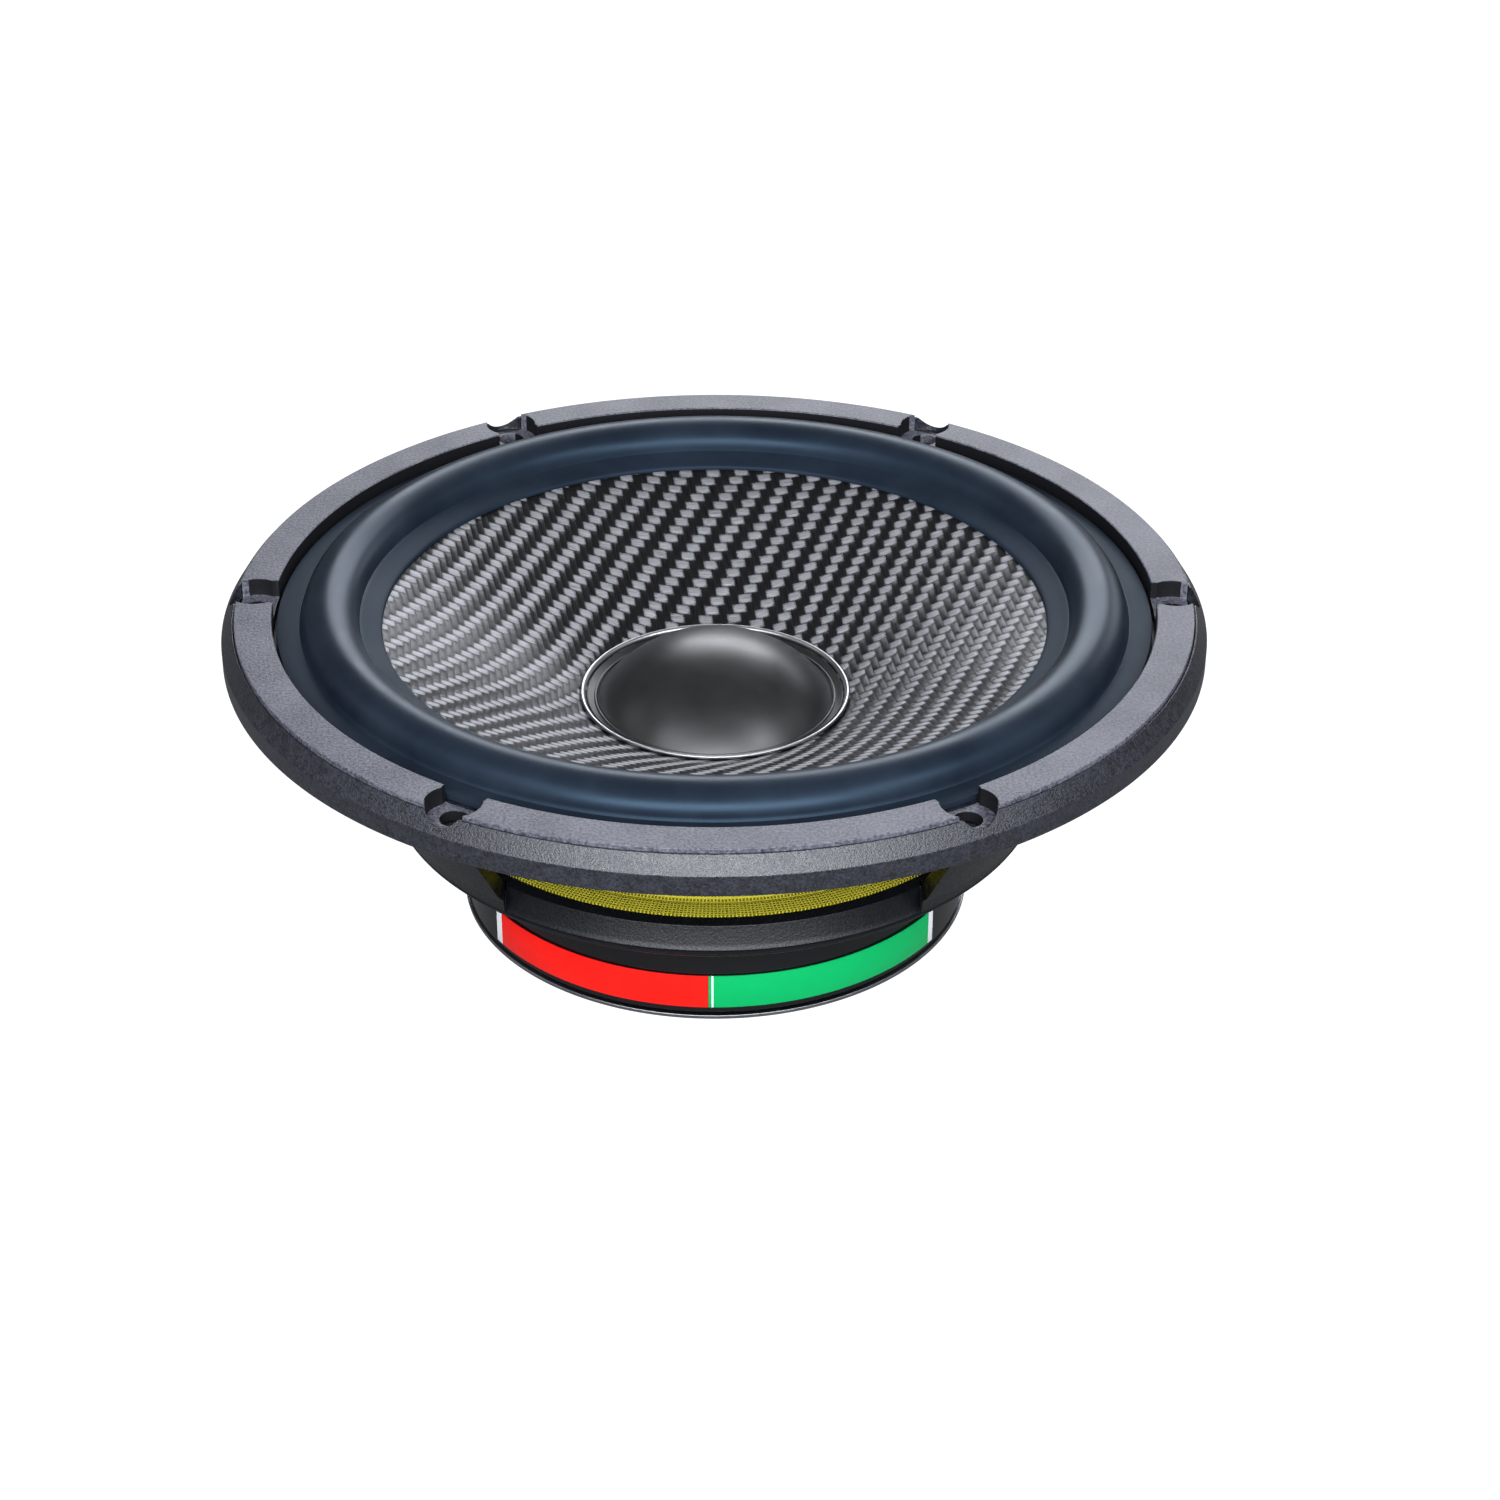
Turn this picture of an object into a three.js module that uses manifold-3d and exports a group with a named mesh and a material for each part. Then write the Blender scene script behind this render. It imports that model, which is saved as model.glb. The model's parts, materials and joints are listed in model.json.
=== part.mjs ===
// A 165 mm car loudspeaker driver: cast chassis, rubber surround, woven cone, dust cap, spider and motor.
// Millimetres, +Z towards the listener. The origin is the centre of the motor's rear face, on the axis.
// Depths are negative distances from the front face, as a driver is drawn from its mounting face back.

import * as THREE from 'three';
import { mergeVertices } from 'three/addons/utils/BufferGeometryUtils.js';
import Module from 'manifold-3d';

const wasm = await Module();
wasm.setup();

// ---- driving dimensions -----------------------------------------------------------------------------
const DEPTH = 56.5;                 // front face to rear face
const GAP = 0.3;                    // glue line or clearance between neighbours
const TURN = 2 * Math.PI;
const DEGREE = Math.PI / 180;

const OUTER_SEGMENTS = 48;          // chassis and trim ring
const INNER_SEGMENTS = 36;          // cone, surround and motor
const SPIDER_SEGMENTS = 28;

const FLANGE = { radius: 82.5, thickness: 7, bevelTop: 80.3, bevelDrop: 3.4, undersideInner: 73 };
const TRIM = { inner: 74, outer: 80, thickness: 4.9, chamfer: 0.4 };
const LEDGE = { inner: 67.6, outer: 73.4, depth: -3.4 };

const SCREWS = { count: 6, circle: 77.3, holeRadius: 2.25 };
const NOTCH = {
  floor: -3.1, pocketRadius: 4.7, mouth: 73.55, flare: 3.9, flareEnd: 74.4, cusp: 126 * DEGREE,
};

const LEGS = { count: 3, rearAngle: 90 * DEGREE };
const WINDOW = {
  sill: -31, head: -9.5, sillHalfWidth: 34.9, headHalfWidth: 42, corner: 3, from: 38, to: 92,
};
const SHELF = {
  bandTop: 54.3, bandFoot: 55.6, bandFootDepth: -34.3, recessFoot: -36, lipRadius: 54.3, lipDepth: -36.9,
  cutTo: 62,
};
const SPIDER_SEAT = { inner: 47.5, outer: 51.8, depth: -32 };
const CHASSIS_FLOOR = { top: -37.2, bottom: -39.5, hole: 24, outer: 45 };
const LEG_OUTSIDE = [[72, -8.4], [63.5, -21], [57.2, -32], [55.8, -34.5], [55.4, -36]];
const LEG_INSIDE = [[53.4, WINDOW.sill], [60, -21], [67.2, -9]];
const BOWL_OUTSIDE = [[49.5, -37.6], [46, -38.3]];
const BOWL_INSIDE = [[44, CHASSIS_FLOOR.top], [46.4, -35.4]];

const ROLL = { centre: 64.45, halfWidth: 4.85, height: 4.45, base: -2.05, wall: 0.9, underDrop: 0.55 };
const SURROUND = { outer: 73.3, inner: 55.9, top: -2.1, landing: 1, glue: 0.6 };
const CONE = {
  edge: 59.3, rim: 55.9, rimDepth: -4.4, cap: 22.8, capDepth: -19.4, neck: 18.7, bulge: 0.5, wall: 0.8,
};
const DOME = { radius: 20.5, height: 10.4, wall: 0.8, skirt: 21.9, skirtWall: 0.5 };
const CAP_RING = { inner: 22.2, outer: 23, height: 0.8 };

const COIL = {
  formerInner: 17.9, formerOuter: 18.4, windingOuter: 19.5, gapCentre: -41.8, winding: 10, former: -47.3,
};
const SPIDER = {
  inner: 18.7, outer: 51.4, depth: -31.35, wall: 0.7, waves: 6, waveHeight: 1.3, flatIn: 22, flatOut: 48,
};

const TOP_PLATE = { inner: 20.3, outer: 42.6, top: -39.8, bottom: -43.8 };
const MAGNET = { inner: 25, outer: 42.6, top: -44.1, bottom: -52.1 };
const YOKE = {
  top: -52.4, disc: 42.6, lip: 44.2, lipTop: -55.7, pole: 17.2, poleTop: -39.4, vent: 6, ventMouth: 10,
};
const COVER = { inner: 42.9, outer: 43.8, top: -39.9, bottom: -55.4, edge: 0.6 };
const LABEL = { inner: 44.1, outer: 44.3, top: -47, bottom: -54, span: 55 * DEGREE, gap: 1.5 * DEGREE };
const MOTOR_SCREW = { circle: 34, headRadius: 3, headHeight: 2, shankRadius: 1.7, shank: 4.4, hole: 2 };

const TERMINAL = {
  halfWidth: 12.5, inner: 66.8, outer: 70.8, top: -17, bottom: -31,
  padHalfWidth: 13, padFace: 66.5, padTop: -16.6, padBottom: -31.2, padRoot: 56, padRootTop: 64.5,
};
const TAB = {
  thickness: 0.8, tongue: 0.5, middle: 68.8, top: -25.3, bottom: -40.5, hole: 0.9, holeDepth: -37.8,
};
const TABS = {
  positive: { x: -5.4, width: 6.3 },
  negative: { x: 5.4, width: 4.8 },
};
const RIVET = { x: 10.2, depth: -20, headRadius: 1.9, headHeight: 0.8, shankRadius: 1, hole: 1.3, end: 64 };
const LEAD = { x: 5, radius: 0.8, hole: 1.4, depth: -20.5 };

const COLOURS = {
  cast: 0x4a4b52, trim: 0x8d8e96, rubber: 0x1c2430, carbon: 0x3a3c40, cap: 0x121316, silver: 0xc8cace,
  spider: 0xb4ab2c, kapton: 0x8a4a1c, copper: 0xb8682c, steel: 0xa9adb3, ferrite: 0x2b2b2d, gloss: 0x08080a,
  red: 0xf5201c, green: 0x06c46a, board: 0x17181a, brass: 0xc9a24a, braid: 0xb7794a, zinc: 0xbfc3c8,
};

// ---- shape helpers ----------------------------------------------------------------------------------
const z = (depth) => DEPTH + depth;

function signedArea(points) {
  return points.reduce((sum, [x, y], i) => {
    const [nextX, nextY] = points[(i + 1) % points.length];
    return sum + (x * nextY - nextX * y) / 2;
  }, 0);
}

// Turns a closed outline of [radius, depth] points about the axis. It may touch the axis at two corners.
function revolve(outline, segments = INNER_SEGMENTS) {
  const ordered = signedArea(outline) > 0 ? outline : [...outline].reverse();
  const points = [...ordered, ordered[0]].map(([radius, depth]) => new THREE.Vector2(radius, z(depth)));
  return new THREE.LatheGeometry(points, segments).rotateX(Math.PI / 2);
}

// An outline in the plane of X and Y, raised from one depth to another.
function raise(shape, from, to, curveSegments = 6) {
  const geometry = new THREE.ExtrudeGeometry(shape, { depth: to - from, bevelEnabled: false, curveSegments });
  return geometry.translate(0, 0, z(from));
}

function box(x0, x1, y0, y1, from, to) {
  const geometry = new THREE.BoxGeometry(x1 - x0, y1 - y0, to - from);
  return geometry.translate((x0 + x1) / 2, (y0 + y1) / 2, z((from + to) / 2));
}

// A round bar along +Y from y0 to y1.
function barAlongY(radius, x, y0, y1, depth, segments = 12) {
  const geometry = new THREE.CylinderGeometry(radius, radius, y1 - y0, segments);
  return geometry.translate(x, (y0 + y1) / 2, z(depth));
}

// A round bar along +Z.
function barAlongZ(radius, x, y, from, to, segments = 12) {
  const geometry = new THREE.CylinderGeometry(radius, radius, to - from, segments).rotateX(Math.PI / 2);
  return geometry.translate(x, y, z((from + to) / 2));
}

function solid(geometry) {
  const bare = geometry.index ? geometry.clone() : geometry;
  bare.deleteAttribute('normal');
  bare.deleteAttribute('uv');
  const merged = mergeVertices(bare, 1e-4);
  const index = merged.index.array;
  const triangles = [];
  for (let i = 0; i < index.length; i += 3) {
    const [a, b, c] = [index[i], index[i + 1], index[i + 2]];
    if (a !== b && b !== c && c !== a) triangles.push(a, b, c);
  }
  const vertProperties = new Float32Array(merged.attributes.position.array);
  const triVerts = new Uint32Array(triangles);
  return new wasm.Manifold(new wasm.Mesh({ numProp: 3, vertProperties, triVerts }));
}

function toGeometry(manifold) {
  const mesh = manifold.getMesh();
  const geometry = new THREE.BufferGeometry();
  geometry.setAttribute('position', new THREE.BufferAttribute(new Float32Array(mesh.vertProperties), 3));
  geometry.setIndex(new THREE.BufferAttribute(new Uint32Array(mesh.triVerts), 1));
  geometry.computeVertexNormals();
  return geometry;
}

const around = (geometry, count, first = 0) =>
  Array.from({ length: count }, (_, i) => geometry.clone().rotateZ(first + (TURN * i) / count));

function cut(body, ...tools) {
  return tools.flat().reduce((left, tool) => left.subtract(solid(tool)), body);
}

const group = new THREE.Group();

function add(name, geometry, colour, roughness, metalness) {
  const material = new THREE.MeshStandardMaterial({ color: colour, roughness, metalness });
  const mesh = new THREE.Mesh(geometry, material);
  mesh.name = name;
  group.add(mesh);
}

// ---- shapes shared by neighbours --------------------------------------------------------------------

// The cone's front surface: a straight flare with a slight bulge between the dust cap and the surround.
function coneDepth(radius) {
  const slope = (CONE.rimDepth - CONE.capDepth) / (CONE.rim - CONE.cap);
  const along = THREE.MathUtils.clamp((radius - CONE.cap) / (CONE.rim - CONE.cap), 0, 1);
  const endSlope = slope + (radius > CONE.rim ? -1 : 1) * (4 * CONE.bulge) / (CONE.rim - CONE.cap);
  if (radius > CONE.rim) return CONE.rimDepth + endSlope * (radius - CONE.rim);
  if (radius < CONE.cap) return CONE.capDepth + endSlope * (radius - CONE.cap);
  return CONE.capDepth + slope * (radius - CONE.cap) + 4 * CONE.bulge * along * (1 - along);
}

const spread = (from, to, steps) =>
  Array.from({ length: steps + 1 }, (_, i) => from + ((to - from) * i) / steps);

// A screw pocket: a round well over the screw hole, opening inwards through a flared mouth.
function notchShape() {
  const { pocketRadius: radius, mouth, flare, flareEnd, cusp } = NOTCH;
  const shape = new THREE.Shape();
  shape.moveTo(mouth, -flare);
  shape.lineTo(flareEnd, -flare);
  shape.absarc(SCREWS.circle, 0, radius, -cusp, cusp, false);
  shape.lineTo(flareEnd, flare);
  shape.lineTo(mouth, flare);
  shape.closePath();
  return shape;
}

const notchTools = around(raise(notchShape(), NOTCH.floor, 2, 16), SCREWS.count);
const screwHole = barAlongZ(SCREWS.holeRadius, SCREWS.circle, 0, -FLANGE.thickness - 2, 2, 16);
const screwHoles = around(screwHole, SCREWS.count);

// ---- chassis ----------------------------------------------------------------------------------------
function basket() {
  const outline = [
    [FLANGE.bevelTop, 0],
    [FLANGE.radius, -FLANGE.bevelDrop],
    [FLANGE.radius, -FLANGE.thickness],
    [FLANGE.undersideInner, -FLANGE.thickness],
    ...LEG_OUTSIDE,
    [SHELF.lipRadius, SHELF.lipDepth],
    ...BOWL_OUTSIDE,
    [CHASSIS_FLOOR.outer, CHASSIS_FLOOR.bottom],
    [CHASSIS_FLOOR.hole, CHASSIS_FLOOR.bottom],
    [CHASSIS_FLOOR.hole, CHASSIS_FLOOR.top],
    ...BOWL_INSIDE,
    [SPIDER_SEAT.inner, SPIDER_SEAT.depth],
    [SPIDER_SEAT.outer, SPIDER_SEAT.depth],
    [SPIDER_SEAT.outer, WINDOW.sill],
    ...LEG_INSIDE,
    [LEDGE.inner, LEDGE.depth],
    [LEDGE.outer, LEDGE.depth],
    [LEDGE.outer, -TRIM.thickness - GAP],
    [FLANGE.bevelTop, -TRIM.thickness - GAP],
  ];
  let body = solid(revolve(outline, OUTER_SEGMENTS));

  const firstWindow = LEGS.rearAngle + TURN / LEGS.count / 2;
  body = cut(body, around(windowTool(), LEGS.count, firstWindow));

  const band = solid(revolve([
    [SHELF.bandTop, WINDOW.sill + GAP],
    [SHELF.bandTop, WINDOW.sill],
    [SHELF.bandFoot, SHELF.bandFootDepth],
    [SHELF.cutTo, SHELF.bandFootDepth],
    [SHELF.cutTo, WINDOW.sill + GAP],
  ], OUTER_SEGMENTS));
  const half = WINDOW.sillHalfWidth;
  const recess = box(WINDOW.from, WINDOW.to, -half, half, SHELF.recessFoot, WINDOW.sill + 1);
  for (const tool of around(recess, LEGS.count, firstWindow)) {
    body = body.subtract(band.intersect(solid(tool)));
  }

  body = body.add(solid(terminalPad()));
  body = cut(body, notchTools, screwHoles);
  for (const side of [-1, 1]) {
    const past = TERMINAL.padFace + 1;
    body = cut(body, barAlongY(LEAD.hole, side * LEAD.x, 50, past, LEAD.depth));
    body = cut(body, barAlongY(RIVET.hole, side * RIVET.x, RIVET.end - GAP, past, RIVET.depth));
  }
  const screwTool = barAlongZ(MOTOR_SCREW.hole, MOTOR_SCREW.circle, 0, -41, -36);
  return toGeometry(cut(body, around(screwTool, LEGS.count, LEGS.rearAngle)));
}

// A window between two legs: an upright trapezium with rounded lower corners, pushed out along +X.
function windowTool() {
  const { sill, head, sillHalfWidth: foot, headHalfWidth: top, corner, from, to } = WINDOW;
  const lean = (top - foot) / (head - sill);
  const shape = new THREE.Shape();
  shape.moveTo(-foot + corner, sill);
  shape.lineTo(foot - corner, sill);
  shape.quadraticCurveTo(foot, sill, foot + lean * corner, sill + corner);
  shape.lineTo(top, head);
  shape.lineTo(-top, head);
  shape.lineTo(-foot - lean * corner, sill + corner);
  shape.quadraticCurveTo(-foot, sill, -foot + corner, sill);
  const settings = { depth: to - from, bevelEnabled: false, curveSegments: 4 };
  const geometry = new THREE.ExtrudeGeometry(shape, settings);
  return geometry.rotateX(Math.PI / 2).rotateZ(Math.PI / 2).translate(from, 0, DEPTH);
}

// The flat on the rear leg that the terminal block is riveted to.
function terminalPad() {
  const shape = new THREE.Shape();
  const { padFace, padRoot, padRootTop, padTop, padBottom } = TERMINAL;
  shape.moveTo(padRoot, padBottom);
  shape.lineTo(padFace, padBottom);
  shape.lineTo(padFace, padTop);
  shape.lineTo(padRootTop, padTop);
  shape.closePath();
  const width = 2 * TERMINAL.padHalfWidth;
  const geometry = new THREE.ExtrudeGeometry(shape, { depth: width, bevelEnabled: false });
  return geometry.rotateX(Math.PI / 2).rotateZ(Math.PI / 2).translate(-width / 2, 0, DEPTH);
}

function trimRing() {
  const { inner, outer, thickness, chamfer } = TRIM;
  const outline = [
    [inner, -thickness],
    [outer, -thickness],
    [outer, 0],
    [inner + chamfer, 0],
    [inner, -chamfer],
  ];
  return toGeometry(cut(solid(revolve(outline, OUTER_SEGMENTS)), notchTools, screwHoles));
}

// ---- suspension and cone ----------------------------------------------------------------------------
function surround() {
  const { centre, halfWidth, height, base, wall } = ROLL;
  const innerBase = base - ROLL.underDrop;
  const over = spread(0, Math.PI, 7).map((angle) => [
    centre + halfWidth * Math.cos(angle), base + height * Math.sin(angle)]);
  const innerHeight = height + base - innerBase - wall;
  const under = spread(Math.PI, 0, 6).map((angle) => [
    centre + (halfWidth - wall) * Math.cos(angle), innerBase + innerHeight * Math.sin(angle)]);
  return revolve([
    [SURROUND.outer, SURROUND.top],
    ...over,
    [SURROUND.inner, coneDepth(SURROUND.inner) + GAP + SURROUND.glue],
    [SURROUND.inner, coneDepth(SURROUND.inner) + GAP],
    [CONE.edge, coneDepth(CONE.edge) + GAP],
    ...under,
    [centre + halfWidth - wall + 0.2, SURROUND.top - SURROUND.landing],
    [SURROUND.outer, SURROUND.top - SURROUND.landing],
  ]);
}

function cone() {
  const radii = [...spread(CONE.neck, CONE.cap, 1), ...spread(CONE.cap, CONE.rim, 5).slice(1), CONE.edge];
  const front = radii.map((radius) => [radius, coneDepth(radius)]);
  const back = radii.map((radius) => [radius, coneDepth(radius) - CONE.wall]).reverse();
  return revolve([...front, ...back]);
}

function dustCap() {
  const { radius, height, wall, skirt, skirtWall } = DOME;
  const sphere = (radius * radius + height * height) / (2 * height);
  const base = coneDepth(radius) + GAP + skirtWall;
  const innerSphere = sphere - wall;
  const centre = base + height - sphere;
  const rise = (r, ball) => centre + Math.sqrt(ball * ball - r * r);
  const over = spread(0, radius, 6).map((r) => [r, rise(r, sphere)]);
  const under = spread(radius - wall, 0, 5).map((r) => [r, rise(r, innerSphere)]);
  return revolve([
    ...over,
    [skirt, coneDepth(skirt) + GAP + skirtWall],
    [skirt, coneDepth(skirt) + GAP],
    [radius - wall, coneDepth(radius - wall) + GAP],
    ...under,
  ]);
}

function capRing() {
  const { inner, outer, height } = CAP_RING;
  const middle = (inner + outer) / 2;
  return revolve([
    [inner, coneDepth(inner) + GAP],
    [outer, coneDepth(outer) + GAP],
    [outer, coneDepth(outer) + height * 0.7],
    [middle, coneDepth(middle) + height],
    [inner, coneDepth(inner) + height * 0.7],
  ]);
}

function spider() {
  const { inner, outer, depth, wall, waves, waveHeight, flatIn, flatOut } = SPIDER;
  const crests = spread(flatIn, flatOut, 2 * waves).map((radius, i) => {
    const ends = i === 0 || i === 2 * waves;
    return [radius, depth + (ends ? 0 : (i % 2 ? waveHeight : -waveHeight) * 0.8)];
  });
  const middle = [[inner, depth], ...crests, [outer, depth]];
  const lower = middle.map(([radius, at]) => [radius, at - wall / 2]).reverse();
  const upper = middle.map(([radius, at]) => [radius, at + wall / 2]);
  return revolve([...upper, ...lower], SPIDER_SEGMENTS);
}

// ---- voice coil and motor ---------------------------------------------------------------------------
function tube(inner, outer, top, bottom) {
  return revolve([[inner, top], [outer, top], [outer, bottom], [inner, bottom]]);
}

function former() {
  const top = coneDepth(CONE.neck) + 0.4;
  return tube(COIL.formerInner, COIL.formerOuter, top, COIL.former);
}

function winding() {
  const { formerOuter, windingOuter, gapCentre, winding: length } = COIL;
  return tube(formerOuter + GAP, windingOuter, gapCentre + length / 2, gapCentre - length / 2);
}

function topPlate() {
  const { inner, outer, top, bottom } = TOP_PLATE;
  const plate = solid(revolve([[inner, top], [outer, top], [outer, bottom], [inner, bottom]]));
  const screwTool = barAlongZ(MOTOR_SCREW.hole, MOTOR_SCREW.circle, 0, bottom - 1, top + 1);
  return toGeometry(cut(plate, around(screwTool, LEGS.count, LEGS.rearAngle)));
}

// Back plate and pole in one forging, with a vent through the pole that widens at the rear.
function yoke() {
  const rear = -DEPTH;
  const { top, disc, lip, lipTop, pole, poleTop, vent, ventMouth } = YOKE;
  return revolve([
    [vent, poleTop],
    [pole - 0.8, poleTop],
    [pole, poleTop - 0.8],
    [pole, top],
    [disc, top],
    [disc, lipTop],
    [lip, lipTop],
    [lip, rear + 0.3],
    [lip - 0.3, rear],
    [ventMouth, rear],
    [vent, rear + 5],
  ]);
}

function magnetCover() {
  const { inner, outer, top, bottom, edge } = COVER;
  return revolve([
    [inner, bottom],
    [outer - edge / 2, bottom],
    [outer, bottom + edge],
    [outer, top - edge],
    [outer - edge / 2, top],
    [inner, top],
  ]);
}

// A strip of label round the motor, between two angles.
function label(from, to) {
  const { inner, outer, top, bottom } = LABEL;
  const steps = Math.round((to - from) / (TURN / INNER_SEGMENTS));
  const shape = new THREE.Shape();
  const corner = (radius, angle) => [radius * Math.cos(angle), radius * Math.sin(angle)];
  shape.moveTo(...corner(inner, from));
  spread(from, to, steps).forEach((angle) => shape.lineTo(...corner(outer, angle)));
  spread(to, from, steps).forEach((angle) => shape.lineTo(...corner(inner, angle)));
  return raise(shape, bottom, top);
}

function motorScrew() {
  const { circle, headRadius, headHeight, shankRadius, shank } = MOTOR_SCREW;
  const seat = CHASSIS_FLOOR.top + GAP;
  const outline = [[0, seat - shank], [shankRadius, seat - shank], [shankRadius, seat], [headRadius, seat],
    [headRadius, seat + headHeight * 0.6], [headRadius * 0.6, seat + headHeight], [0, seat + headHeight]];
  return revolve(outline, 12).translate(circle, 0, 0);
}

// ---- terminals and leads ----------------------------------------------------------------------------
function uprightPlate(x, width, thickness, top, bottom) {
  const [half, depth] = [width / 2, thickness / 2];
  return box(x - half, x + half, TAB.middle - depth, TAB.middle + depth, bottom, top);
}

// A flat blade below the block, with a thinner tongue up into the block's slot and a locking hole.
function bladeTerminal({ x, width }) {
  const shoulder = TERMINAL.bottom - GAP;
  const blade = solid(uprightPlate(x, width, TAB.thickness, shoulder, TAB.bottom));
  const tongue = solid(uprightPlate(x, width, TAB.tongue, TAB.top, shoulder - 1));
  const hole = barAlongY(TAB.hole, x, TAB.middle - 1, TAB.middle + 1, TAB.holeDepth);
  return toGeometry(cut(blade.add(tongue), hole));
}

function terminalBlock() {
  const { halfWidth, inner, outer, top, bottom } = TERMINAL;
  const slots = Object.values(TABS).map(({ x, width }) =>
    uprightPlate(x, width + 2 * GAP, TAB.thickness + 2 * GAP, TAB.top + GAP, bottom - 1));
  const holes = [-1, 1].map((side) =>
    barAlongY(RIVET.hole, side * RIVET.x, inner - 1, outer + 1, RIVET.depth));
  return toGeometry(cut(solid(box(-halfWidth, halfWidth, inner, outer, bottom, top)), slots, holes));
}

function rivet(side) {
  const { x, depth, headRadius, headHeight, shankRadius, end } = RIVET;
  const face = TERMINAL.outer + GAP;
  const points = [[0, end], [shankRadius, end], [shankRadius, face], [headRadius, face],
    [headRadius * 0.6, face + headHeight], [0, face + headHeight]].map(([r, y]) => new THREE.Vector2(r, y));
  return new THREE.LatheGeometry([...points, points[0]], 12).translate(side * x, 0, z(depth));
}

// A braided lead from the terminal block, through its hole in the rear leg, to the neck of the cone.
function lead(side) {
  const route = [
    [LEAD.x, 66.2, LEAD.depth],
    [LEAD.x, 60, LEAD.depth],
    [LEAD.x, 52, -22.4],
    [LEAD.x, 42, -23.4],
    [LEAD.x - 0.2, 32, -21.6],
    [LEAD.x - 0.5, 25, -22.6],
    [LEAD.x - 0.9, 19.6, -24.4],
  ].map(([x, y, depth]) => new THREE.Vector3(side * x, y, z(depth)));
  const section = new THREE.Shape().absarc(0, 0, LEAD.radius, 0, TURN, false);
  const extrudePath = new THREE.CatmullRomCurve3(route);
  const settings = { steps: 16, extrudePath, curveSegments: 4, bevelEnabled: false };
  return new THREE.ExtrudeGeometry(section, settings);
}

// ---- assembly ---------------------------------------------------------------------------------------
add('basket', basket(), COLOURS.cast, 0.6, 0.3);
add('trim_ring', trimRing(), COLOURS.trim, 0.5, 0.4);
add('surround', surround(), COLOURS.rubber, 0.45, 0);
add('cone', cone(), COLOURS.carbon, 0.35, 0.1);
add('dust_cap', dustCap(), COLOURS.cap, 0.35, 0);
add('cap_ring', capRing(), COLOURS.silver, 0.2, 1);
add('spider', spider(), COLOURS.spider, 0.8, 0);
add('voice_coil_former', former(), COLOURS.kapton, 0.5, 0);
add('voice_coil_winding', winding(), COLOURS.copper, 0.35, 0.9);
add('top_plate', topPlate(), COLOURS.zinc, 0.35, 0.9);
add('magnet', revolve([
  [MAGNET.inner, MAGNET.top],
  [MAGNET.outer, MAGNET.top],
  [MAGNET.outer, MAGNET.bottom],
  [MAGNET.inner, MAGNET.bottom],
]), COLOURS.ferrite, 0.8, 0);
add('yoke', yoke(), COLOURS.zinc, 0.35, 0.9);
add('magnet_cover', magnetCover(), COLOURS.gloss, 0.08, 0);

const FRONT = 270 * DEGREE;
add('label_red', label(FRONT - LABEL.span, FRONT - LABEL.gap), COLOURS.red, 0.35, 0);
add('label_green', label(FRONT, FRONT + LABEL.span), COLOURS.green, 0.35, 0);

around(motorScrew(), LEGS.count, LEGS.rearAngle).forEach((geometry, i) => {
  add(`motor_screw_${i + 1}`, geometry, COLOURS.steel, 0.3, 1);
});

add('terminal_block', terminalBlock(), COLOURS.board, 0.6, 0);
add('terminal_positive', bladeTerminal(TABS.positive), COLOURS.brass, 0.3, 1);
add('terminal_negative', bladeTerminal(TABS.negative), COLOURS.zinc, 0.3, 1);
[-1, 1].forEach((side, i) => {
  add(`terminal_rivet_${i + 1}`, rivet(side), COLOURS.steel, 0.3, 1);
  add(`tinsel_lead_${i + 1}`, lead(side), COLOURS.braid, 0.5, 0.6);
});

export default group;
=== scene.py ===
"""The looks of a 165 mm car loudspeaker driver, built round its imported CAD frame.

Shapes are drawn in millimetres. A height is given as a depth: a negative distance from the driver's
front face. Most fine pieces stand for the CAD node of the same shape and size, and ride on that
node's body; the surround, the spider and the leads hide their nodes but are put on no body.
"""
import json
import math

import bmesh
import bpy
import numpy as np
from mathutils import Matrix, Vector


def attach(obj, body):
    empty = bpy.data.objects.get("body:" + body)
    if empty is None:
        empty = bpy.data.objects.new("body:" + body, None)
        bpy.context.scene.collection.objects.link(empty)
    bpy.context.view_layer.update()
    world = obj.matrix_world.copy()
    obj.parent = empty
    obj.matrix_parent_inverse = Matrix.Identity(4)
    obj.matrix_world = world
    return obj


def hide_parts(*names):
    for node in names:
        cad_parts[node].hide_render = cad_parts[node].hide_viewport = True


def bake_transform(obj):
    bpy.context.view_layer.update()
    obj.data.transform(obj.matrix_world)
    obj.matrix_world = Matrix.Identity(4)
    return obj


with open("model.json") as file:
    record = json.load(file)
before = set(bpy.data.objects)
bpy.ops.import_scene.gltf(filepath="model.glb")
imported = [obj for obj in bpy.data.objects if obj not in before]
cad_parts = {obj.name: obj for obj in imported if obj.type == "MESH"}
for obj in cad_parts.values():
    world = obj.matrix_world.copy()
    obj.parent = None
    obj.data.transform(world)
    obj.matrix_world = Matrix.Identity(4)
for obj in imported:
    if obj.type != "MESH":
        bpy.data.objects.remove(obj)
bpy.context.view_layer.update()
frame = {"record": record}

MM = 0.001
FRONT = 56.5                       # height of the front face above the motor's rear face
SEGMENTS = 256                     # steps in a full turn of the large parts
FINE = 384                         # steps in a full turn of the parts that fill the picture
TURN = 2 * math.pi

BODIES = frame["record"]["behaviour"]["bodies"]

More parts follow.
